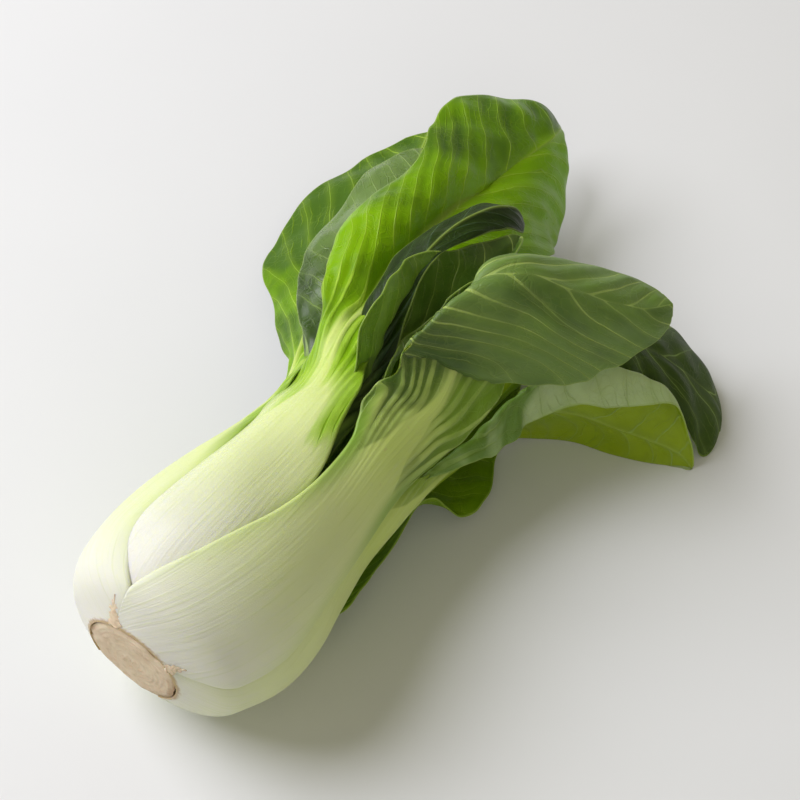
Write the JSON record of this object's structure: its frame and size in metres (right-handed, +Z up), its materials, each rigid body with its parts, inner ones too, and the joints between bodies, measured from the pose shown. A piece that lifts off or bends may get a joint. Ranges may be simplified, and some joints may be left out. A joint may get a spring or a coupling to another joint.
{
  "type": "bok choy",
  "caption": "Head of bok choy lying on its side: pale thick stalks wrap into a bulb and spread into dark green folded leaves.",
  "frame": {"origin": "under the middle of the head, on the surface that it lies on", "axes": "+X from the cut base to the leaf tips, +Z up from the surface"},
  "size_m": [0.2737, 0.1806, 0.0901],
  "materials": {
    "cut_stem": "matte, dry pale tan cut face with a ragged brown rim",
    "dark_leaf": "semi-gloss blue-green blade with pale veins, on a waxy cream to yellow-green stalk",
    "bright_leaf": "semi-gloss bright green blade with pale veins, on a waxy cream to yellow-green stalk",
    "heart_leaf": "satin pale yellow-green"
  },
  "bodies": {
    "root": {"stem_base": "cut_stem", "front_leaf": "dark_leaf", "left_leaf": "bright_leaf", "right_leaf": "dark_leaf", "top_leaf": "bright_leaf", "bottom_leaf": "bright_leaf", "left_inner_leaf": "dark_leaf", "back_leaf": "dark_leaf", "hood_leaf": "dark_leaf", "curled_leaf": "dark_leaf", "heart_leaf_front": "heart_leaf", "heart_leaf_left": "heart_leaf", "heart_leaf_top": "heart_leaf"}
  },
  "joints": []
}
